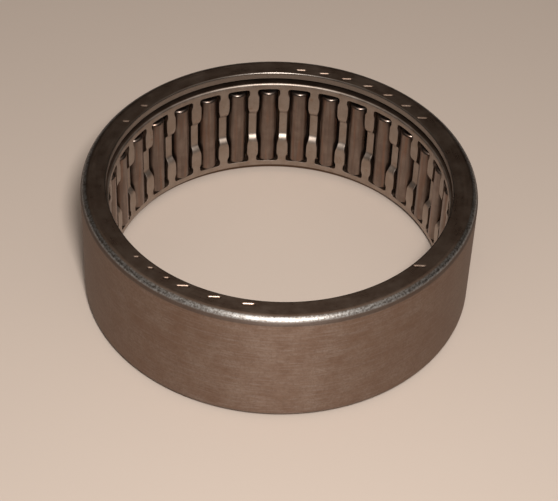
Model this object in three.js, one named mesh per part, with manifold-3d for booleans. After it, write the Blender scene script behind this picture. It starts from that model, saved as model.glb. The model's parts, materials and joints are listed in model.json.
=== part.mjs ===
// A drawn cup needle roller bearing with open ends, in millimetres.
//
// A thin steel cup with an inward lip at each end holds a one-piece sheet steel cage. The cage has a
// W-shaped section: its rims turn outwards into flanges, the ends of its bars lie inside the ring of
// roller axes and the middle of each bar steps out to it, so that every roller is held in its pocket.
// The shaft runs straight on the rollers, and the cup is pressed into a housing.
//
// The bearing's axis is +Z. The origin is on that axis, at the face that the bearing lies on, and the
// first roller is on the -Y side.
import * as THREE from "three";
import { mergeVertices } from "three/addons/utils/BufferGeometryUtils.js";
import Module from "manifold-3d";

const wasm = await Module();
wasm.setup();

// Driving dimensions.
const OUTSIDE_RADIUS = 23.5;
const WIDTH = 16;
const SHAFT_RADIUS = 20; // the circle that the rollers leave free for the shaft
const ROLLER_RADIUS = 1.25;
const ROLLER_LENGTH = 11.2;
const ROLLER_BEVEL = 0.25; // round each end of a roller
const ROLLER_COUNT = 33;

// The cup.
const LIP_THICKNESS = 0.9;
const UPPER_LIP_BORE_RADIUS = 20.5;
const LOWER_LIP_BORE_RADIUS = 21;
const UPPER_CORNER_RADIUS = 1;
const LOWER_CORNER_RADIUS = 1.4;
const LIP_EDGE_RADIUS = 0.15;
const INNER_CORNER_RADIUS = 0.4;
const RACE_CLEARANCE = 0.06; // between the rollers and the raceway, on the radius

// The cage.
const CAGE_LENGTH = 13.5;
const CAGE_INNER_RADIUS = 20.2;
const SHEET = 0.5; // thickness of the steel strip
const FLANGE_RADIUS = 21.8;
const RIM_BEND_RADIUS = 0.3;
const STEP_OUT = 0.6; // how far the middle of a bar lies outside its ends
const STEP_HALF_LENGTH = 1.7; // half the length of that middle, up to its bends
const AXIAL_GAP = 0.05; // between the cup's lower lip, the cage and the rollers as they lie
const REST_TURN = -0.5; // how far the cage and its rollers are turned as they lie, in degrees

// A pocket's outline: half its width at each height above the cage's middle.
const POCKET_HALF_LENGTH = 5.9;
const POCKET_OUTLINE = [
  { height: 2.1, half: 1.48 }, // free of the roller beside the stepped-out middle
  { height: 2.7, half: 1.29 },
  { height: 3.6, half: 1.21 }, // the edges that keep the roller from falling inwards
  { height: 4.7, half: 1.21 },
  { height: 5.3, half: 1.4 }, // relieved at the roller's ends
  { height: POCKET_HALF_LENGTH, half: 1.4 },
];

// Fineness of the facets.
const CUP_SEGMENTS = 72;
const CAGE_SEGMENTS = 2 * ROLLER_COUNT;
const ROLLER_SEGMENTS = 16;
const CORNER_STEPS = 3;
const EDGE_STEPS = 2;

// Places worked out from the dimensions.
const PITCH_RADIUS = SHAFT_RADIUS + ROLLER_RADIUS;
const RACE_RADIUS = PITCH_RADIUS + ROLLER_RADIUS + RACE_CLEARANCE;
const CAGE_BOTTOM = LIP_THICKNESS + AXIAL_GAP;
const CAGE_MIDDLE = CAGE_BOTTOM + CAGE_LENGTH / 2;
const ROLLER_BOTTOM = CAGE_MIDDLE - POCKET_HALF_LENGTH + AXIAL_GAP;
const rollerAngle = (i) => (i * 360) / ROLLER_COUNT - 90; // in degrees, the first roller on -Y

const steel = (name, color, roughness, metalness) =>
  new THREE.MeshStandardMaterial({ name, color, roughness, metalness });
const cupSteel = steel("cup_steel", 0x8c7f76, 0.34, 0.95);
const cageSteel = steel("cage_steel", 0x9a8b80, 0.42, 0.9);
const rollerSteel = steel("roller_steel", 0x6e655e, 0.24, 0.98);

// Points along an arc in the radius-height plane, from one angle to another in quarter turns.
function arc(centreRadius, centreHeight, radius, from, to, steps) {
  const points = [];
  for (let i = 0; i <= steps; i++) {
    const angle = ((from + ((to - from) * i) / steps) * Math.PI) / 2;
    points.push([
      centreRadius + radius * Math.cos(angle),
      centreHeight + radius * Math.sin(angle),
    ]);
  }
  return points;
}

// A closed outline of [radius, height] points turned about the Z axis.
function turned(outline, segments) {
  const points = outline.map(([radius, height]) => new THREE.Vector2(radius, height));
  const geometry = new THREE.LatheGeometry(points, segments);
  return geometry.rotateX(Math.PI / 2);
}

// The outline of a ring, closed on its own first point.
const closed = (outline) => [...outline, outline[0]];

// The mirror image of an outline's half about a height, in the opposite order.
const mirrored = (half, height) =>
  half.map(([radius, z]) => [radius, 2 * height - z]).reverse();

function toSolid(geometry) {
  const bare = geometry.clone();
  bare.deleteAttribute("normal");
  bare.deleteAttribute("uv");
  const merged = mergeVertices(bare, 1e-4);
  return new wasm.Manifold(
    new wasm.Mesh({
      numProp: 3,
      vertProperties: merged.attributes.position.array,
      triVerts: new Uint32Array(merged.index.array),
    }),
  );
}

function toGeometry(solid) {
  const mesh = solid.getMesh();
  const geometry = new THREE.BufferGeometry();
  geometry.setAttribute("position", new THREE.BufferAttribute(mesh.vertProperties, 3));
  geometry.setIndex(new THREE.BufferAttribute(mesh.triVerts, 1));
  geometry.computeVertexNormals();
  return geometry;
}

// The cup's section at its upper end: the drawn corner, the lip's edge and the corner of the raceway.
function cupEnd(cornerRadius, boreRadius) {
  return [
    ...arc(OUTSIDE_RADIUS - cornerRadius, WIDTH - cornerRadius, cornerRadius, 0, 1, CORNER_STEPS),
    ...arc(boreRadius + LIP_EDGE_RADIUS, WIDTH - LIP_EDGE_RADIUS, LIP_EDGE_RADIUS, 1, 2, EDGE_STEPS),
    [boreRadius, WIDTH - LIP_THICKNESS],
    ...arc(
      RACE_RADIUS - INNER_CORNER_RADIUS,
      WIDTH - LIP_THICKNESS - INNER_CORNER_RADIUS,
      INNER_CORNER_RADIUS,
      1,
      0,
      EDGE_STEPS,
    ),
  ];
}

// The cup: a raceway wall and two inward lips. Its upper end was drawn first, and its lower end was
// rolled over the cage last, with a rounder corner and a shorter lip.
function cupGeometry() {
  const upperEnd = cupEnd(UPPER_CORNER_RADIUS, UPPER_LIP_BORE_RADIUS);
  const lowerEnd = mirrored(cupEnd(LOWER_CORNER_RADIUS, LOWER_LIP_BORE_RADIUS), WIDTH / 2);
  return turned(closed([...upperEnd, ...lowerEnd]), CUP_SEGMENTS);
}

// The cage's section before its pockets are punched, between its middle and its upper flange.
function cageUpperHalf() {
  const top = CAGE_LENGTH / 2;
  const bend = SHEET * (Math.SQRT2 - 1); // how far the outer face's corners lie from the inner face's
  const inner = CAGE_INNER_RADIUS;
  const stepEnd = STEP_HALF_LENGTH + STEP_OUT;
  return [
    [inner + STEP_OUT + SHEET, STEP_HALF_LENGTH + bend],
    [inner + SHEET, stepEnd + bend],
    [inner + SHEET, top - SHEET],
    [FLANGE_RADIUS, top - SHEET],
    [FLANGE_RADIUS, top],
    ...arc(inner + RIM_BEND_RADIUS, top - RIM_BEND_RADIUS, RIM_BEND_RADIUS, 1, 2, EDGE_STEPS),
    [inner, stepEnd],
    [inner + STEP_OUT, STEP_HALF_LENGTH],
  ];
}

// The punch that makes one pocket, standing on the +X side of the cage.
function pocketPunch() {
  const right = POCKET_OUTLINE.map(({ height, half }) => [half, height]);
  const rightSide = [...right.map(([x, z]) => [x, -z]).reverse(), ...right];
  const leftSide = rightSide.map(([x, z]) => [-x, z]).reverse();
  const outline = [...rightSide, ...leftSide].map(([x, z]) => new THREE.Vector2(x, z));
  const reach = FLANGE_RADIUS - SHAFT_RADIUS + 2 * SHEET;
  const punch = new THREE.ExtrudeGeometry(new THREE.Shape(outline), {
    depth: reach,
    bevelEnabled: false,
  });
  // The outline's width turns to Y, its height to Z and the punch's length to X.
  punch.rotateX(Math.PI / 2);
  punch.rotateZ(Math.PI / 2);
  return punch.translate(SHAFT_RADIUS - SHEET, 0, 0);
}

function cageGeometry() {
  const upperHalf = cageUpperHalf();
  const blank = turned(closed([...upperHalf, ...mirrored(upperHalf, 0)]), CAGE_SEGMENTS);
  const punch = toSolid(pocketPunch());
  const punches = [];
  for (let i = 0; i < ROLLER_COUNT; i++) {
    punches.push(punch.rotate([0, 0, rollerAngle(i)]));
  }
  return toGeometry(toSolid(blank).subtract(wasm.Manifold.union(punches)));
}

// A needle roller: a plain cylinder with a small bevel round each end.
function rollerGeometry() {
  return turned(
    [
      [0, 0],
      [ROLLER_RADIUS - ROLLER_BEVEL, 0],
      [ROLLER_RADIUS, ROLLER_BEVEL],
      [ROLLER_RADIUS, ROLLER_LENGTH - ROLLER_BEVEL],
      [ROLLER_RADIUS - ROLLER_BEVEL, ROLLER_LENGTH],
      [0, ROLLER_LENGTH],
    ],
    ROLLER_SEGMENTS,
  );
}

function named(name, geometry, material) {
  const mesh = new THREE.Mesh(geometry, material);
  mesh.name = name;
  return mesh;
}

function rollerRing() {
  const ring = new THREE.Group();
  const geometry = rollerGeometry();
  for (let i = 0; i < ROLLER_COUNT; i++) {
    const angle = THREE.MathUtils.degToRad(rollerAngle(i));
    const number = String(i + 1).padStart(2, "0");
    const roller = named(`needle_roller_${number}`, geometry, rollerSteel);
    roller.position.set(PITCH_RADIUS * Math.cos(angle), PITCH_RADIUS * Math.sin(angle), ROLLER_BOTTOM);
    roller.rotation.z = angle;
    ring.add(roller);
  }
  return ring;
}

const bearing = new THREE.Group();
bearing.name = "needle_roller_bearing";
bearing.add(named("drawn_cup", cupGeometry(), cupSteel));

const cage = named("cage", cageGeometry(), cageSteel);
cage.position.z = CAGE_MIDDLE;

const cageAndRollers = new THREE.Group();
cageAndRollers.rotation.z = THREE.MathUtils.degToRad(REST_TURN);
cageAndRollers.add(cage, rollerRing());
bearing.add(cageAndRollers);

export default bearing;
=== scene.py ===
# The looks of the drawn cup needle roller bearing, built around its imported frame.
#
# Each CAD node is replaced by a fine mesh of the same sizes: the cup with its drawn corners and stamped
# dashes, the pressed cage with its bends and pockets, and the rollers with their rounded ends.
# Lengths are in millimetres until a mesh or a bump is made, and in metres for the camera, the lights and
# the floor.
import json
import math
from itertools import pairwise

import bpy
from mathutils import Matrix, Vector


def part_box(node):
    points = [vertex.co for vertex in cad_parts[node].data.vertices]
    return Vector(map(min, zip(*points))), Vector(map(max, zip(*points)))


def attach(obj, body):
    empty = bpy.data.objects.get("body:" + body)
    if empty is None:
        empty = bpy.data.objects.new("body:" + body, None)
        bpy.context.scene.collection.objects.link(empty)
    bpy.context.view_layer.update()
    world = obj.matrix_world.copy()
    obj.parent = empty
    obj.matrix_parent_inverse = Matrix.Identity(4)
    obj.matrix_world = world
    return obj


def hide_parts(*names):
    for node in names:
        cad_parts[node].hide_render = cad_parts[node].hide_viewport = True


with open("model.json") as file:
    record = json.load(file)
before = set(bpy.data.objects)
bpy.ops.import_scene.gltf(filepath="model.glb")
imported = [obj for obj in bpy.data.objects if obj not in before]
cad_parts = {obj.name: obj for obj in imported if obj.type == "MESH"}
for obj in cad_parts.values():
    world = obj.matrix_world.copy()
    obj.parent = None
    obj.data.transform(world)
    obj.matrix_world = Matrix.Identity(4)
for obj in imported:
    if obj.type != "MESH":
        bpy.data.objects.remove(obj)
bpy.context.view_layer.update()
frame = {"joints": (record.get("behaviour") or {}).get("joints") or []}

MM = 0.001
ROUNDING = 1e-6  # more than the rounding error of a length


def box_in_mm(node):
    """A node's lowest and highest corners."""
    low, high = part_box(node)
    return low / MM, high / MM


# Sizes read from the frame.
CUP_HIGH = box_in_mm("drawn_cup")[1]
CAGE_LOW, CAGE_HIGH = box_in_mm("cage")
ROLLER_LOW, ROLLER_HIGH = box_in_mm("needle_roller_01")
OUTSIDE_RADIUS = CUP_HIGH.x
WIDTH = CUP_HIGH.z
CAGE_MIDDLE = (CAGE_LOW.z + CAGE_HIGH.z) / 2
CAGE_TOP = (CAGE_HIGH.z - CAGE_LOW.z) / 2
FLANGE_RADIUS = CAGE_HIGH.x
ROLLER_RADIUS = (ROLLER_HIGH.y - ROLLER_LOW.y) / 2
ROLLER_JOINTS = [joint for joint in frame["joints"] if joint["child"].startswith("roller_")]
ROLLER_COUNT = len(ROLLER_JOINTS)
PITCH = 2 * math.pi / ROLLER_COUNT
FIRST_ROLLER = math.atan2(ROLLER_JOINTS[0]["pos_m"][1], ROLLER_JOINTS[0]["pos_m"][0])

# The cup's section.
UPPER_CORNER_RADIUS = 1.0
LOWER_CORNER_RADIUS = 1.4
LIP_THICKNESS = 0.9
UPPER_LIP_BORE_RADIUS = 20.5
LOWER_LIP_BORE_RADIUS = 21.0
LIP_EDGE_RADIUS = 0.15  # where a lip's bore meets its outer face
BORE_EDGE_RADIUS = 0.06  # where it meets the inner face
RACE_RADIUS = 22.56
INNER_CORNER_RADIUS = 0.4

# The dashes stamped into the upper lip, all parallel to X: the bearings in degrees of each run's first
# and last dash, their number and half their length.
DASH_RUNS = [
    (36, 84, 7, 0.5),
    (143, 153, 2, 0.3),
    (-138, -125, 3, 0.2),
    (-119, -98, 3, 0.6),
    (-41, -41, 1, 0.6),
]
DASH_RADIUS = 21.3
DASH_HALF_WIDTH = 0.15
DASH_DEPTH = 0.105

# The cage's strip and pockets, as heights above its middle.
SHEET = 0.5
CAGE_INNER_RADIUS = 20.2
STEP_OUT = 0.6  # how far the middle of a bar lies outside its ends
STEP_HALF_LENGTH = 1.7
STEP_BEND = 45  # in degrees
STEP_BEND_RADIUS = 0.9
RIM_BEND_RADIUS = 0.3
RIM_INNER_BEND_RADIUS = 0.06
POCKET_HALF_LENGTH = 5.9
POCKET_CORNER_RADIUS = 0.35
POCKET_HALF_WIDTHS = [(2.0, 1.48), (3.1, 1.24), (3.6, 1.22), (4.6, 1.22), (5.2, 1.41)]  # by height
PUNCHED_EDGE_RADIUS = 0.04
PUNCHED_EDGE_ANGLE = 50  # in degrees: the mesh turns less than this in each step of a bend

# The rollers.
ROLLER_END_RADIUS = 0.32
END_FACE_RINGS = (0.35, 0.7, 0.93)  # as shares of the radius of an end's flat face

# How many steps the stretches of the cup's section have, and the columns of its mesh.
CORNER_STEPS = 14
STAMPED_LIP_STEPS = 44
PLAIN_LIP_STEPS = 4
LIP_EDGE_STEPS = 6
LIP_BORE_STEPS = 4
BORE_EDGE_STEPS = 3
LIP_INSIDE_STEPS = 4
INNER_CORNER_STEPS = 5
WALL_STEPS = 6
STAMPED_COLUMNS = 4  # in each degree of the cup near a run of dashes
STAMPED_MARGIN = 3  # how far past a run they reach, in degrees

# The same for the cage's strip.
STEP_MIDDLE_STEPS = 6
STEP_BEND_STEPS = 5
STEP_SLOPE_STEPS = 3
BAR_END_STEPS = 22
POCKET_CORNER_ANGLES = (15, 30, 45, 60, 90)  # where the rows round a pocket's corner lie, in degrees
RIM_BEND_STEPS = 6
FLANGE_STEPS = 4
BAR_COLUMNS = 6
POCKET_COLUMNS = 6

# And for the rollers.
ROLLER_END_STEPS = 7
ROLLER_SIDE_STEPS = 6
ROLLER_SEGMENTS = 48


def arc(centre_radius, centre_height, radius, start, end, steps):
    """Points along an arc in the radius-height plane, between two angles in degrees."""
    points = []
    for i in range(steps + 1):
        angle = math.radians(start + (end - start) * i / steps)
        points.append((centre_radius + radius * math.cos(angle), centre_height + radius * math.sin(angle)))
    return points


def stretch(start, end, steps):
    """Points along a straight line, without its ends."""
    return [
        (start[0] + (end[0] - start[0]) * i / steps, start[1] + (end[1] - start[1]) * i / steps)
        for i in range(1, steps)
    ]


def smooth_mesh(name, vertices, faces):
    """A smooth-shaded mesh from vertices in millimetres."""
    mesh = bpy.data.meshes.new(name)
    mesh.from_pydata([Vector(vertex) * MM for vertex in vertices], [], faces)
    mesh.validate()
    mesh.shade_smooth()
    return mesh


def make_piece(name, mesh, body, node, material):
    """Makes a piece that stands for a CAD node and rides on its body."""
    piece = bpy.data.objects.new(name, mesh)
    bpy.context.scene.collection.objects.link(piece)
    mesh.materials.append(material)
    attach(piece, body)
    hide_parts(node)


# ---------------------------------------------------------------------------------------------------
# The cup


def dash_places():
    """The middle of each dash, and half its length."""
    places = []
    for first, last, count, half_length in DASH_RUNS:
        for i in range(count):
            angle = math.radians(first + (last - first) * i / max(1, count - 1))
            places.append((DASH_RADIUS * math.cos(angle), DASH_RADIUS * math.sin(angle), half_length))
    return places


def dash_depth(x, y, places):
    """How deep the stamped dashes are at a place on the lip: a trough along each dash."""
    deepest = 0
    for middle_x, middle_y, half_length in places:
        past_end = max(0, abs(x - middle_x) - half_length)
        share = math.hypot(past_end, y - middle_y) / DASH_HALF_WIDTH
        if share < 1:
            deepest = max(deepest, DASH_DEPTH * (1 - share * share))
    return deepest


def cup_bearings():
    """The bearings in degrees of the columns of the cup's mesh, closer together near the dashes."""
    bearings = []
    for bearing in range(-180, 180):
        stamped = any(
            first - STAMPED_MARGIN <= bearing <= last + STAMPED_MARGIN for first, last, *_ in DASH_RUNS
        )
        columns = STAMPED_COLUMNS if stamped else 1
        bearings += [bearing + column / columns for column in range(columns)]
    return bearings


def cup_end(corner_radius, bore_radius, lip_steps):
    """The cup's section at its upper end, from the head of its outer wall to the head of its raceway."""
    corner = OUTSIDE_RADIUS - corner_radius
    lip_edge = bore_radius + LIP_EDGE_RADIUS
    bore_edge = bore_radius + BORE_EDGE_RADIUS
    inside = WIDTH - LIP_THICKNESS
    inner = RACE_RADIUS - INNER_CORNER_RADIUS
    return [
        *arc(corner, WIDTH - corner_radius, corner_radius, 0, 90, CORNER_STEPS),
        *stretch((corner, WIDTH), (lip_edge, WIDTH), lip_steps),
        *arc(lip_edge, WIDTH - LIP_EDGE_RADIUS, LIP_EDGE_RADIUS, 90, 180, LIP_EDGE_STEPS),
        *stretch((bore_radius, WIDTH - LIP_EDGE_RADIUS), (bore_radius, inside), LIP_BORE_STEPS),
        *arc(bore_edge, inside + BORE_EDGE_RADIUS, BORE_EDGE_RADIUS, 180, 270, BORE_EDGE_STEPS),
        *stretch((bore_edge, inside), (inner, inside), LIP_INSIDE_STEPS),
        *arc(inner, inside - INNER_CORNER_RADIUS, INNER_CORNER_RADIUS, 90, 0, INNER_CORNER_STEPS),
    ]


def cup_outline():
    """The cup's section, anticlockwise from the head of its outer wall."""
    upper = cup_end(UPPER_CORNER_RADIUS, UPPER_LIP_BORE_RADIUS, STAMPED_LIP_STEPS)
    lower = cup_end(LOWER_CORNER_RADIUS, LOWER_LIP_BORE_RADIUS, PLAIN_LIP_STEPS)
    lower = [(radius, WIDTH - height) for radius, height in reversed(lower)]
    race = stretch(upper[-1], lower[0], WALL_STEPS)
    wall = stretch(lower[-1], upper[0], WALL_STEPS)
    return [*upper, *race, *lower, *wall]


def cup_mesh():
    """The section turned about the bearing's axis, with the dashes pressed into its upper lip."""
    outline = cup_outline()
    places = dash_places()
    lip_face = WIDTH - LIP_EDGE_RADIUS / 2
    bearings = cup_bearings()
    vertices = []
    for bearing in bearings:
        angle = math.radians(bearing)
        for radius, height in outline:
            x, y = radius * math.cos(angle), radius * math.sin(angle)
            if height > lip_face:
                height -= dash_depth(x, y, places)
            vertices.append((x, y, height))
    count = len(outline)
    faces = []
    for i in range(len(bearings)):
        here, there = i * count, (i + 1) % len(bearings) * count
        for j in range(count):
            k = (j + 1) % count
            faces.append((here + j, there + j, there + k, here + k))
    return smooth_mesh("cup", vertices, faces)


# ---------------------------------------------------------------------------------------------------
# The cage
#
# Its strip is made of rows that run round it. A row has the level that the pockets' width is taken at,
# and a point on each of the strip's faces, first the one that looks at the shaft.

INNER, OUTER = 0, 1  # the strip's faces


def straight_row(level, radius):
    """A row where the strip stands upright, at the radius of its inner face."""
    return level, (radius, level), (radius + SHEET, level)


def stepped_rows():
    """The rows of a bar's stepped-out middle, from the cage's middle up to the end of its second bend."""
    ends = CAGE_INNER_RADIUS + SHEET / 2
    middle = ends + STEP_OUT
    radii = (STEP_BEND_RADIUS - SHEET / 2, STEP_BEND_RADIUS, STEP_BEND_RADIUS + SHEET / 2)
    half_bend = math.tan(math.radians(STEP_BEND / 2))
    corner = SHEET / 2 * half_bend
    tangent = STEP_BEND_RADIUS * half_bend
    first_height = STEP_HALF_LENGTH + corner - tangent
    last_height = STEP_HALF_LENGTH + STEP_OUT + corner + tangent
    first_bend = [
        arc(middle - STEP_BEND_RADIUS, first_height, radius, 0, STEP_BEND, STEP_BEND_STEPS)
        for radius in radii
    ]
    last_bend = [
        arc(ends + STEP_BEND_RADIUS, last_height, radius, 180 + STEP_BEND, 180, STEP_BEND_STEPS)
        for radius in reversed(radii)
    ]
    slope = [stretch(start[-1], end[0], STEP_SLOPE_STEPS) for start, end in zip(first_bend, last_bend)]
    rows = [
        straight_row(first_height * i / STEP_MIDDLE_STEPS, middle - SHEET / 2)
        for i in range(STEP_MIDDLE_STEPS)
    ]
    for layers in (first_bend, slope, last_bend):
        rows += [(centre[1], inner, outer) for inner, centre, outer in zip(*layers)]
    return rows


def bar_end_rows(start):
    """The rows of a bar's straight end, from a level up to the end of the pockets."""
    corner = POCKET_HALF_LENGTH - POCKET_CORNER_RADIUS
    levels = [start + (corner - start) * i / BAR_END_STEPS for i in range(1, BAR_END_STEPS + 1)]
    for angle in POCKET_CORNER_ANGLES:
        levels.append(corner + POCKET_CORNER_RADIUS * math.sin(math.radians(angle)))
    return [straight_row(level, CAGE_INNER_RADIUS) for level in levels]


def rim_face(radius, height, bend_radius):
    """One face of a rim: its bend outwards from a radius, and its flange at a height."""
    bend = arc(radius + bend_radius, height - bend_radius, bend_radius, 180, 90, RIM_BEND_STEPS)
    edge = (FLANGE_RADIUS, height)
    return [*bend, *stretch(bend[-1], edge, FLANGE_STEPS), edge]


def rim_rows():
    """The rows of a rim's bend and its flange."""
    inner_face = rim_face(CAGE_INNER_RADIUS, CAGE_TOP, RIM_BEND_RADIUS)
    outer_face = rim_face(CAGE_INNER_RADIUS + SHEET, CAGE_TOP - SHEET, RIM_INNER_BEND_RADIUS)
    return [(CAGE_TOP, inner, outer) for inner, outer in zip(inner_face, outer_face)]


def strip_rows():
    """The rows of the whole strip, from its lower flange to its upper one."""
    stepped = stepped_rows()
    last_level = stepped[-1][0]
    upper = [*stepped, *bar_end_rows(last_level), *rim_rows()]
    lower = [(-level, (r0, -z0), (r1, -z1)) for level, (r0, z0), (r1, z1) in reversed(upper[1:])]
    return lower + upper


def pocket_half_width(level):
    """Half a pocket's width at a level, its corners rounded."""
    height = min(abs(level), POCKET_HALF_LENGTH)
    width = POCKET_HALF_WIDTHS[0][1]
    for (low, half), (high, next_half) in pairwise(POCKET_HALF_WIDTHS):
        if height > low:
            share = min(1, (height - low) / (high - low))
            width = half + (next_half - half) * share * share * (3 - 2 * share)
    past = height - (POCKET_HALF_LENGTH - POCKET_CORNER_RADIUS)
    if past > 0:
        past = min(past, POCKET_CORNER_RADIUS)
        width -= POCKET_CORNER_RADIUS - math.sqrt(POCKET_CORNER_RADIUS**2 - past**2)
    return width


class Grid:
    """The strip's vertices and faces. Its columns run along each bar, spread between the edges of the
    pockets beside it, and in a rim they run on across the end of the next pocket."""

    def __init__(self):
        self.vertices = []
        self.faces = []
        self.places = {}

    def add_row(self, row, level, sides, in_rim):
        """A row of vertices on both of the strip's faces."""
        half_width = pocket_half_width(level)
        for side, (radius, height) in enumerate(sides):
            half_turn = math.asin(half_width / radius)
            for bar in range(ROLLER_COUNT):
                start = FIRST_ROLLER + bar * PITCH + half_turn
                end = FIRST_ROLLER + (bar + 1) * PITCH - half_turn
                angles = [start + (end - start) * i / BAR_COLUMNS for i in range(BAR_COLUMNS + 1)]
                if in_rim:
                    across = 2 * half_turn / POCKET_COLUMNS
                    angles += [end + across * i for i in range(1, POCKET_COLUMNS)]
                for column, angle in enumerate(angles):
                    self.places[bar, side, row, column] = len(self.vertices)
                    x, y = radius * math.cos(angle), radius * math.sin(angle)
                    self.vertices.append((x, y, height + CAGE_MIDDLE))

    def vertex(self, bar, side, row, column):
        """A vertex's number. A pocket's last column is the first column of the next bar."""
        if column == BAR_COLUMNS + POCKET_COLUMNS:
            bar, column = (bar + 1) % ROLLER_COUNT, 0
        return self.places[bar, side, row, column]

    def add_face(self, bar, *corners):
        """A face whose corners are each a side, a row and a column."""
        self.faces.append([self.vertex(bar, *corner) for corner in corners])

    def add_both_sides(self, bar, low, left):
        """The strip's two faces between a row and a column and the next ones."""
        high, right = low + 1, left + 1
        outer = (low, left), (low, right), (high, right), (high, left)
        inner = (low, left), (high, left), (high, right), (low, right)
        self.add_face(bar, *((OUTER, *place) for place in outer))
        self.add_face(bar, *((INNER, *place) for place in inner))

    def add_end(self, bar, side, row, left):
        """A face through the strip along a row. It looks down if its first side is the inner one, and up
        if that is the outer."""
        other, right = 1 - side, left + 1
        self.add_face(bar, (side, row, left), (side, row, right), (other, row, right), (other, row, left))

    def add_edge(self, bar, side, low, column):
        """A face through the strip along a column. Its first side is the inner one at a bar's first edge,
        and the outer at its last."""
        other, high = 1 - side, low + 1
        places = (side, low), (other, low), (other, high), (side, high)
        self.add_face(bar, *((*place, column) for place in places))


def cage_mesh():
    """The cage's strip with its bends, its pockets and their rounded edges."""
    rows = strip_rows()
    in_rim = [abs(level) >= POCKET_HALF_LENGTH - ROUNDING for level, *_ in rows]
    grid = Grid()
    for row, (level, *sides) in enumerate(rows):
        grid.add_row(row, level, sides, in_rim[row])
    top = len(rows) - 1
    for bar in range(ROLLER_COUNT):
        for column in range(BAR_COLUMNS + POCKET_COLUMNS):
            for row in range(top):
                if column < BAR_COLUMNS or in_rim[row] and in_rim[row + 1]:
                    grid.add_both_sides(bar, row, column)
                elif in_rim[row + 1]:
                    grid.add_end(bar, INNER, row + 1, column)
                elif in_rim[row]:
                    grid.add_end(bar, OUTER, row, column)
            grid.add_end(bar, INNER, 0, column)
            grid.add_end(bar, OUTER, top, column)
        for row in range(top):
            if not (in_rim[row] and in_rim[row + 1]):
                grid.add_edge(bar, INNER, row, 0)
                grid.add_edge(bar, OUTER, row, BAR_COLUMNS)
    mesh = bpy.data.meshes.new("cage_sharp")
    mesh.from_pydata(grid.vertices, [], grid.faces)
    mesh.validate()
    mesh.shade_smooth()
    return rounded_edges(mesh)


def rounded_edges(mesh):
    """The mesh in metres, with its punched edges rounded."""
    sharp = bpy.data.objects.new("sharp", mesh)
    bpy.context.scene.collection.objects.link(sharp)
    bevel = sharp.modifiers.new("edges", "BEVEL")
    bevel.limit_method = "ANGLE"
    bevel.angle_limit = math.radians(PUNCHED_EDGE_ANGLE)
    bevel.width = PUNCHED_EDGE_RADIUS
    bevel.segments = 2
    bevel.use_clamp_overlap = False
    bevel.harden_normals = True
    graph = bpy.context.evaluated_depsgraph_get()
    rounded = bpy.data.meshes.new_from_object(sharp.evaluated_get(graph))
    bpy.data.objects.remove(sharp)
    rounded.transform(Matrix.Scale(MM, 4))
    return rounded


# ---------------------------------------------------------------------------------------------------
# The rollers


def roller_mesh(name, axis, turn):
    """A needle roller turned about its own axis: a cylinder with rounded ends and flat end faces."""
    low, high = ROLLER_LOW.z, ROLLER_HIGH.z
    foot, head = low + ROLLER_END_RADIUS, high - ROLLER_END_RADIUS
    flat = ROLLER_RADIUS - ROLLER_END_RADIUS
    rings = [share * flat for share in END_FACE_RINGS]
    outline = [
        *((radius, low) for radius in rings),
        *arc(flat, foot, ROLLER_END_RADIUS, -90, 0, ROLLER_END_STEPS),
        *stretch((ROLLER_RADIUS, foot), (ROLLER_RADIUS, head), ROLLER_SIDE_STEPS),
        *arc(flat, head, ROLLER_END_RADIUS, 0, 90, ROLLER_END_STEPS),
        *((radius, high) for radius in reversed(rings)),
    ]
    vertices = [(axis.x, axis.y, low), (axis.x, axis.y, high)]
    for i in range(ROLLER_SEGMENTS):
        angle = turn + 2 * math.pi * i / ROLLER_SEGMENTS
        for radius, height in outline:
            vertices.append((axis.x + radius * math.cos(angle), axis.y + radius * math.sin(angle), height))
    count = len(outline)
    faces = []
    for i in range(ROLLER_SEGMENTS):
        here, there = 2 + i * count, 2 + (i + 1) % ROLLER_SEGMENTS * count
        for j in range(count - 1):
            faces.append((here + j, there + j, there + j + 1, here + j + 1))
        faces.append((0, there, here))
        faces.append((1, here + count - 1, there + count - 1))
    return smooth_mesh(name, vertices, faces)


# ---------------------------------------------------------------------------------------------------
# Materials

HALF_WIDTH = WIDTH / 2
LIP_INSIDE = HALF_WIDTH - LIP_THICKNESS  # how far a lip's inner face lies from the cup's middle

# The cup's colours, all in linear light.
LIP_BROWN = (0.27, 0.185, 0.14, 1)
LIP_PALE = (0.33, 0.245, 0.195, 1)
LIP_EDGE_GREY = (0.25, 0.215, 0.19, 1)
TARNISH_DARK = (0.160, 0.086, 0.051, 1)
TARNISH_PALE = (0.214, 0.139, 0.098, 1)
TARNISH_SPECKS = (0.125, 0.066, 0.038, 1)
DRAWN_LINES = (0.30, 0.235, 0.20, 1)
# painted shade in a line under the upper corner
CORNER_SHADE = (0.05, 0.035, 0.028, 1)
RUBBED_DARK = (0.19, 0.16, 0.14, 1)
RUBBED_BRIGHT = (0.45, 0.43, 0.41, 1)
# painted shade in the raceway and a painted contact shadow round the foot
CUP_SHADE = (0.12, 0.075, 0.05, 1)

# The cage's colours.
STRIP_DARK = (0.34, 0.275, 0.23, 1)
STRIP_PALE = (0.42, 0.35, 0.30, 1)
STRIP_SPOTS = (0.30, 0.19, 0.13, 1)
# painted shade on the flanges, and the darker faces that don't look at the axis
CAGE_SHADE_AND_DARK_EDGES = (0.12, 0.07, 0.045, 1)

# The rollers' colours.
GROUND_DARK = (0.20, 0.152, 0.127, 1)
GROUND_PALE = (0.265, 0.21, 0.18, 1)
ROLLER_STAINS = (0.25, 0.14, 0.095, 1)
ROLLER_STREAKS = (0.13, 0.10, 0.085, 1)

# The surroundings' colours.
FLOOR_COLOUR = (0.58, 0.48, 0.41, 1)
ROOM_COLOUR = (1.0, 0.90, 0.80, 1)

FIRST_COLOUR, SECOND_COLOUR, MIXED_COLOUR = 6, 7, 2  # the colour sockets of a Mix node


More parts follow.
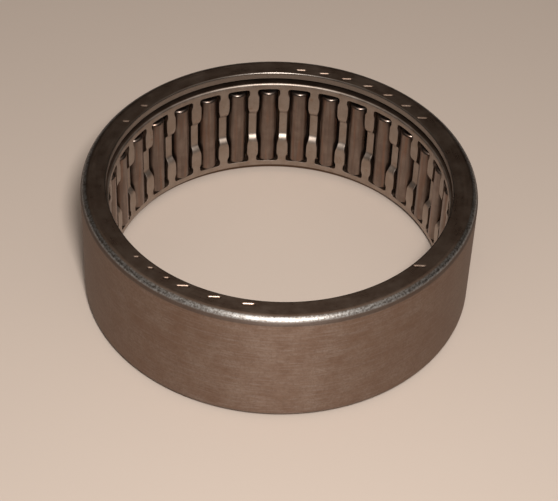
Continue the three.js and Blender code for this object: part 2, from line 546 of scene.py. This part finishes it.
class Tree:
    """The node tree of a material or a world, and short ways to add to it."""

    def __init__(self, owner, shader):
        owner.use_nodes = True
        self.nodes = owner.node_tree.nodes
        self.links = owner.node_tree.links
        self.shader = self.nodes[shader]

    def feed(self, node, inputs):
        """Links each input to a socket, or sets it to a value."""
        for key, value in inputs.items():
            if isinstance(value, bpy.types.NodeSocket):
                self.links.new(value, node.inputs[key])
            else:
                node.inputs[key].default_value = value

    def node(self, kind, inputs, **settings):
        made = self.nodes.new(kind)
        for key, value in settings.items():
            setattr(made, key, value)
        self.feed(made, inputs)
        return made

    def maths(self, operation, a, b=0.0):
        return self.node("ShaderNodeMath", {0: a, 1: b}, operation=operation).outputs[0]

    def plus(self, a, b):
        return self.maths("ADD", a, b)

    def times(self, a, b):
        return self.maths("MULTIPLY", a, b)

    def ramp(self, value, low, high, to_low=0.0, to_high=1.0):
        """A value mapped smoothly from one range to another."""
        inputs = {"Value": value, "From Min": low, "From Max": high, "To Min": to_low, "To Max": to_high}
        return self.node("ShaderNodeMapRange", inputs, interpolation_type="SMOOTHSTEP").outputs[0]

    def noise(self, vector, scale=1.0, detail=3.0, roughness=0.55):
        inputs = {"Vector": vector, "Scale": scale, "Detail": detail, "Roughness": roughness}
        return self.node("ShaderNodeTexNoise", inputs).outputs["Fac"]

    def mix(self, share, first, second):
        inputs = {"Factor": share, FIRST_COLOUR: first, SECOND_COLOUR: second}
        return self.node("ShaderNodeMix", inputs, data_type="RGBA").outputs[MIXED_COLOUR]

    def bump(self, height, depth, strength, below=None):
        """A normal bent by a pattern of a depth in millimetres, on top of the bump below."""
        inputs = {"Height": height, "Distance": depth * MM, "Strength": strength}
        if below is not None:
            inputs["Normal"] = below
        return self.node("ShaderNodeBump", inputs).outputs[0]

    def coordinates(self, kind):
        return self.node("ShaderNodeTexCoord", {}).outputs[kind]

    def places(self):
        """Where a point is, in millimetres in the part's frame: the point, its x, y and height, and its
        distance from the axis."""
        inputs = {0: self.coordinates("Object"), "Scale": 1 / MM}
        point = self.node("ShaderNodeVectorMath", inputs, operation="SCALE").outputs[0]
        x, y, height = self.node("ShaderNodeSeparateXYZ", {0: point}).outputs
        squares = self.plus(self.times(x, x), self.times(y, y))
        return point, x, y, height, self.maths("SQRT", squares)

    def distance(self, height, middle):
        """How far a height is from a middle, up or down."""
        return self.maths("ABSOLUTE", self.maths("SUBTRACT", height, middle))

    def stretched(self, x, y, z, level, upright):
        """A place for a pattern with so many repeats in a millimetre, on the level and upright."""
        inputs = {
            0: self.times(x, level),
            1: self.times(y, level),
            2: self.times(z, upright),
        }
        return self.node("ShaderNodeCombineXYZ", inputs).outputs[0]


def cup_steel():
    """Drawn steel: a wall browned and dulled by old oil, corners rubbed bright, painted shade in the
    raceway and under the upper corner, and a painted contact shadow round the foot.
    """
    material = bpy.data.materials.new("cup_steel")
    tree = Tree(material, "Principled BSDF")
    point, x, y, height, radius = tree.places()
    from_middle = tree.distance(height, HALF_WIDTH)

    # The drawing lines run round the wall and the lips alike.
    along_section = tree.maths("SUBTRACT", height, radius)
    lines = tree.noise(tree.stretched(x, y, along_section, 0.3, 5.0), detail=4.0, roughness=0.6)
    mottle = tree.noise(point, scale=0.35, detail=7.0, roughness=0.68)
    grain = tree.noise(point, scale=3.6, detail=4.0, roughness=0.65)

    # The parts of the section, each 1 in its own place and 0 elsewhere.
    wall = tree.ramp(radius, OUTSIDE_RADIUS - 0.35, OUTSIDE_RADIUS - 0.08)
    corner = tree.times(
        tree.ramp(radius, OUTSIDE_RADIUS - 0.8, OUTSIDE_RADIUS - 0.55),
        tree.ramp(from_middle, HALF_WIDTH - 0.58, HALF_WIDTH - 0.3),
    )
    race = tree.times(
        tree.ramp(radius, RACE_RADIUS + 0.04, RACE_RADIUS + 0.24, 1.0, 0.0),
        tree.ramp(from_middle, LIP_INSIDE - 0.1, LIP_INSIDE + 0.02, 1.0, 0.0),
    )
    lip_face = tree.times(
        tree.ramp(radius, OUTSIDE_RADIUS - 0.75, OUTSIDE_RADIUS - 0.5, 1.0, 0.0),
        tree.ramp(from_middle, LIP_INSIDE + 0.1, LIP_INSIDE + 0.3),
    )
    lip_edge = tree.ramp(radius, UPPER_LIP_BORE_RADIUS + 0.05, UPPER_LIP_BORE_RADIUS + 0.2, 1.0, 0.0)

    # The lips, and the wall with its pale drawing lines and dark specks.
    lip = tree.mix(tree.ramp(mottle, 0.35, 0.65), LIP_BROWN, LIP_PALE)
    lip = tree.mix(lip_edge, lip, LIP_EDGE_GREY)
    tarnish = tree.mix(tree.ramp(mottle, 0.30, 0.72), TARNISH_DARK, TARNISH_PALE)
    tarnish = tree.mix(tree.ramp(lines, 0.45, 0.66, 0.0, 0.3), tarnish, DRAWN_LINES)
    tarnish = tree.mix(tree.ramp(grain, 0.42, 0.66, 0.0, 0.5), tarnish, TARNISH_SPECKS)
    colour = tree.mix(wall, lip, tarnish)

    # A painted line of shade under the upper corner, the rubbed corners, painted shade in the raceway, and
    # a painted contact shadow round the foot.
    # painted shade: a darker line round the wall just under the upper corner
    shade_under_corner = tree.ramp(height, WIDTH - 1.1, WIDTH - 0.85, 0.0, 0.65)
    outside = tree.ramp(radius, OUTSIDE_RADIUS - 0.45, OUTSIDE_RADIUS - 0.3)
    colour = tree.mix(tree.times(shade_under_corner, outside), colour, CORNER_SHADE)
    rubbed = tree.mix(tree.ramp(grain, 0.35, 0.65), RUBBED_DARK, RUBBED_BRIGHT)
    colour = tree.mix(corner, colour, rubbed)
    # painted contact shadow: darker towards the foot
    foot = tree.ramp(height, 0.35, 0.8, 0.85, 0.0)
    colour = tree.mix(tree.maths("MAXIMUM", race, foot), colour, CUP_SHADE)

    rough = tree.plus(tree.ramp(mottle, 0.3, 0.7, 0.36, 0.42), tree.ramp(lines, 0.35, 0.7, 0.0, 0.06))
    rough = tree.plus(rough, tree.times(wall, 0.14))
    rough = tree.plus(rough, tree.times(corner, tree.ramp(grain, 0.3, 0.7, -0.01, 0.06)))
    rough = tree.maths("SUBTRACT", rough, tree.times(lip_face, 0.1))
    relief = tree.bump(lines, 0.008, 0.4)
    relief = tree.bump(grain, 0.014, 0.7, relief)
    tree.feed(tree.shader, {
        "Base Color": colour,
        "Metallic": tree.maths("SUBTRACT", 1.0, tree.times(wall, 0.5)),
        "Roughness": rough,
        "Normal": relief,
        "Specular IOR Level": 1.0,
        "Anisotropic": tree.plus(0.3, tree.times(wall, 0.4)),
        "Anisotropic Rotation": 0.25,
    })
    return material


def cage_steel():
    """Pressed strip steel: rolling marks along the bars, painted shade on the flanges and darker punched
    edges.
    """
    material = bpy.data.materials.new("cage_steel")
    tree = Tree(material, "Principled BSDF")
    point, x, y, height, radius = tree.places()
    rolled = tree.noise(tree.stretched(x, y, height, 7.0, 0.5), detail=3.0)
    mottle = tree.noise(point, scale=0.5, detail=5.0, roughness=0.6)
    spotted = tree.noise(point, scale=1.1, detail=4.0, roughness=0.7)
    grain = tree.noise(point, scale=9.0, detail=2.0)

    colour = tree.mix(tree.ramp(mottle, 0.35, 0.65), STRIP_DARK, STRIP_PALE)
    colour = tree.mix(tree.ramp(spotted, 0.57, 0.72, 0.0, 0.55), colour, STRIP_SPOTS)

    # Painted shade darkens the flanges behind the rims' bends; the faces that don't look at the axis, the
    # punched edges and the flanges, are made darker as well.
    behind = tree.ramp(radius, CAGE_INNER_RADIUS + 0.3, CAGE_INNER_RADIUS + 0.7)
    from_middle = tree.distance(height, CAGE_MIDDLE)
    rim = tree.ramp(from_middle, POCKET_HALF_LENGTH, POCKET_HALF_LENGTH + 0.3, 0.0, 0.8)
    directions = {0: tree.coordinates("Normal"), 1: tree.stretched(x, y, height, 1.0, 0.0)}
    outward = tree.node("ShaderNodeVectorMath", directions, operation="DOT_PRODUCT").outputs["Value"]
    facing = tree.maths("DIVIDE", tree.maths("ABSOLUTE", outward), radius)
    off_axis_darkening = tree.ramp(facing, 0.25, 0.6, 0.85, 0.0)
    # painted shade behind the rims' bends, plus darker punched edges and flanges
    shade_and_dark_edges = tree.maths("MAXIMUM", tree.times(behind, rim), off_axis_darkening)
    colour = tree.mix(shade_and_dark_edges, colour, CAGE_SHADE_AND_DARK_EDGES)

    rough = tree.plus(tree.ramp(mottle, 0.3, 0.7, 0.42, 0.50), tree.ramp(rolled, 0.4, 0.7, 0.0, 0.07))
    relief = tree.bump(rolled, 0.008, 0.5)
    relief = tree.bump(grain, 0.010, 0.5, relief)
    tree.feed(tree.shader, {"Base Color": colour, "Metallic": 1.0, "Roughness": rough, "Normal": relief})
    return material


def roller_steel():
    """Ground bearing steel with fine grinding lines round each roller, faint stains and dull streaks."""
    material = bpy.data.materials.new("roller_steel")
    tree = Tree(material, "Principled BSDF")
    point, x, y, height, _ = tree.places()
    ground = tree.noise(tree.stretched(x, y, height, 0.8, 14.0), detail=3.0)
    mottle = tree.noise(point, scale=0.45, detail=5.0, roughness=0.6)
    stained = tree.noise(tree.stretched(x, y, height, 1.6, 0.12), detail=2.0)
    streaked = tree.noise(tree.stretched(x, y, height, 2.6, 0.18), detail=3.0)

    colour = tree.mix(tree.ramp(mottle, 0.35, 0.65), GROUND_DARK, GROUND_PALE)
    colour = tree.mix(tree.ramp(stained, 0.50, 0.66, 0.0, 0.55), colour, ROLLER_STAINS)
    colour = tree.mix(tree.ramp(streaked, 0.35, 0.62, 0.45, 0.0), colour, ROLLER_STREAKS)
    rough = tree.plus(tree.ramp(mottle, 0.3, 0.7, 0.27, 0.35), tree.ramp(ground, 0.4, 0.7, 0.0, 0.06))
    relief = tree.bump(ground, 0.006, 0.5)
    tree.feed(tree.shader, {"Base Color": colour, "Metallic": 1.0, "Roughness": rough, "Normal": relief})
    return material


def floor_paper():
    """A pale, plain, slightly warm floor."""
    material = bpy.data.materials.new("floor_paper")
    tree = Tree(material, "Principled BSDF")
    tree.feed(tree.shader, {"Base Color": FLOOR_COLOUR, "Roughness": 0.85, "Specular IOR Level": 0.2})
    return material


# ---------------------------------------------------------------------------------------------------
# Camera, light and floor

EYE = Vector((-0.0005, -0.1679, 0.1613))
AIM = Vector((0.00027, 0.00483, 0.0))
ROLL = math.radians(2.37)
LENS = 121.2
MIDDLE = Vector((0, 0, 0.008))
FLOOR_REACH = 1.6


def make_camera():
    """Makes the scene's camera, at the eye, towards the aim and rolled a little anticlockwise."""
    data = bpy.data.cameras.new("camera")
    data.lens = LENS
    data.clip_start = 0.01
    data.clip_end = 20
    camera = bpy.data.objects.new("camera", data)
    bpy.context.scene.collection.objects.link(camera)
    camera.location = EYE
    level = (AIM - EYE).to_track_quat("-Z", "Y").to_matrix()
    rolled = level @ Matrix.Rotation(ROLL, 3, "Z")
    camera.rotation_euler = rolled.to_euler()
    bpy.context.scene.camera = camera


def make_area_light(name, location, size, power, colour):
    """Makes a round lamp that shines at the bearing's middle."""
    data = bpy.data.lights.new(name, "AREA")
    data.shape = "DISK"
    data.size = size
    data.energy = power
    data.color = colour
    light = bpy.data.objects.new(name, data)
    bpy.context.scene.collection.objects.link(light)
    light.location = location
    light.rotation_euler = (MIDDLE - Vector(location)).to_track_quat("-Z", "Y").to_euler()


def make_lights():
    """Makes a small lamp beside the camera, and a broad one far behind it and above."""
    make_area_light("key", (0.014, -0.1526, 0.179), size=0.03, power=0.50, colour=(1.0, 0.98, 0.95))
    make_area_light("fill", (0.05, -0.55, 0.95), size=0.45, power=1.8, colour=(1.0, 0.98, 0.96))


def make_world():
    """Makes a dim room with a soft pale ceiling."""
    world = bpy.data.worlds.new("room")
    bpy.context.scene.world = world
    tree = Tree(world, "Background")
    upward = tree.node("ShaderNodeSeparateXYZ", {0: tree.coordinates("Generated")}).outputs[2]
    horizon = tree.ramp(upward, 0.02, 0.3, 0.08, 0.02)
    ceiling = tree.ramp(upward, 0.68, 0.82, 0.0, 0.34)
    tree.feed(tree.shader, {"Color": ROOM_COLOUR, "Strength": tree.plus(horizon, ceiling)})


def make_floor():
    """Makes a flat square floor under the bearing."""
    corners = [(x * FLOOR_REACH, y * FLOOR_REACH, 0) for x, y in ((-1, -1), (1, -1), (1, 1), (-1, 1))]
    mesh = bpy.data.meshes.new("floor")
    mesh.from_pydata(corners, [], [(0, 1, 2, 3)])
    mesh.materials.append(floor_paper())
    floor = bpy.data.objects.new("floor", mesh)
    bpy.context.scene.collection.objects.link(floor)


# ---------------------------------------------------------------------------------------------------

bpy.context.scene.view_settings.view_transform = "Standard"
make_camera()
make_lights()
make_world()
make_floor()

make_piece("cup", cup_mesh(), "cup", "drawn_cup", cup_steel())
make_piece("pressed_cage", cage_mesh(), "cage", "cage", cage_steel())
steel = roller_steel()
for i, joint in enumerate(ROLLER_JOINTS):
    body = joint["child"]
    axis = Vector(joint["pos_m"]) / MM
    mesh = roller_mesh("ground_" + body, axis, i * PITCH)
    make_piece("ground_" + body, mesh, body, "needle_" + body, steel)
